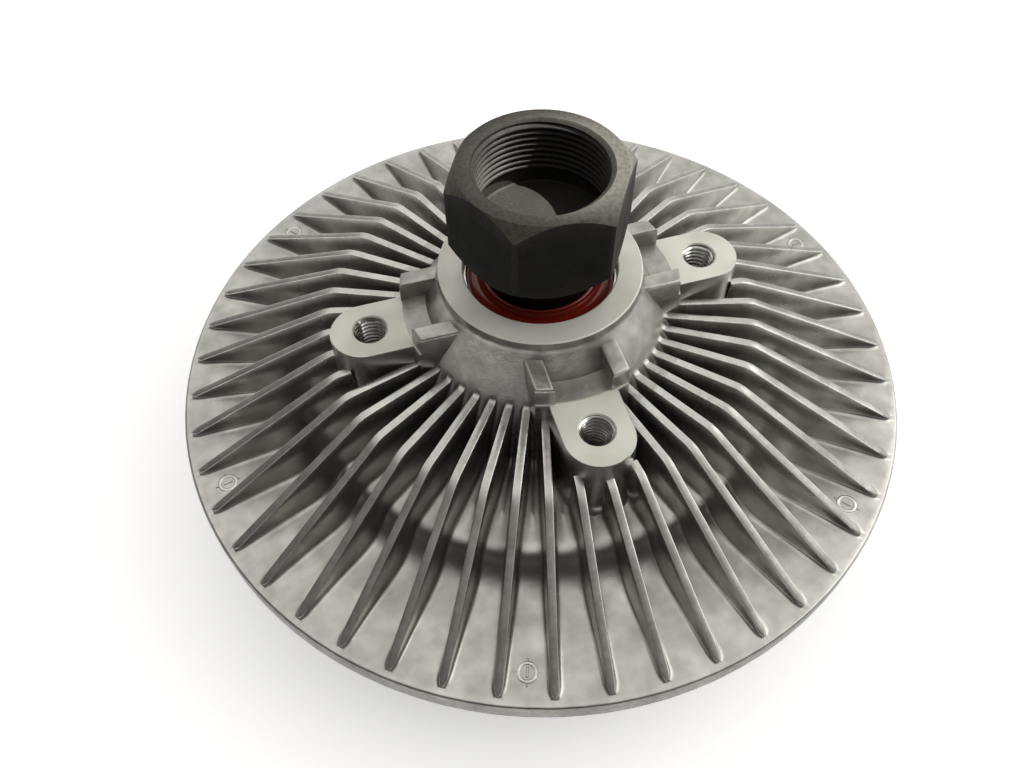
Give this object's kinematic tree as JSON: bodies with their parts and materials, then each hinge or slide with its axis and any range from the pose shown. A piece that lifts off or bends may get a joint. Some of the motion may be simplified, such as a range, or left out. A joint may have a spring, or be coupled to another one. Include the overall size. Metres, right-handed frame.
{
  "type": "viscous fan clutch",
  "caption": "Viscous engine-fan clutch: finned cast disc on a bearing hub, with threaded fan bosses and a hex socket that screws onto the pump shaft.",
  "frame": {"origin": "centre of the cover's rest plane, on the shaft axis", "axes": "+Z along the shaft axis towards the socket; +X and +Y through the fan bosses"},
  "size_m": [0.184, 0.184, 0.09],
  "materials": {
    "cast": "die-cast, satin, with turned faces",
    "phosphate": "steel, black manganese phosphate",
    "bearing_steel": "ground",
    "cage": "stamped",
    "seal_red": "moulded, orange-red",
    "rubber": "moulded, black",
    "spring_steel": "oil-blackened",
    "sheet_steel": "zinc plated",
    "wiper": "moulded",
    "bronze": "sintered",
    "bimetal": "rolled strip, slightly tempered"
  },
  "bodies": {
    "housing": {"rear_housing": "cast", "front_cover": "cast", "cover_seal_ring": "rubber", "bearing_outer_race": "bearing_steel", "bearing_rear_seal": "seal_red", "bearing_front_seal": "rubber", "bearing_retaining_ring": "spring_steel", "pump_plate": "sheet_steel", "pump_plate_screws": "sheet_steel", "pump_wiper": "wiper", "valve_bush": "bronze", "valve_shaft_seal": "rubber", "bimetal_coil": "bimetal", "coil_bracket": "sheet_steel", "coil_bracket_screws": "sheet_steel"},
    "shaft": {"drive_shaft": "phosphate", "bearing_inner_race": "bearing_steel", "rotor": "cast", "rotor_lock_ring": "spring_steel"},
    "ball_set": {"bearing_balls": "bearing_steel", "bearing_cage": "cage"},
    "valve": {"valve_arm": "sheet_steel", "valve_shaft": "bearing_steel"}
  },
  "joints": [
    {"name": "shaft_spin", "type": "hinge", "parent": "housing", "child": "shaft", "pos_m": [0, 0, 0.0524], "axis": [0, 0, 1], "continuous": true},
    {"name": "ball_set_spin", "type": "hinge", "parent": "housing", "child": "ball_set", "pos_m": [0, 0, 0.0524], "axis": [0, 0, 1], "continuous": true},
    {"name": "valve_turn", "type": "hinge", "parent": "housing", "child": "valve", "pos_m": [0, 0, 0.0104], "axis": [0, 0, 1], "range_deg": [0, 35], "deforming": ["bimetal_coil"]}
  ],
  "couplings": [
    {"joint": "ball_set_spin", "follows": "shaft_spin", "ratio": 0.3976}
  ]
}
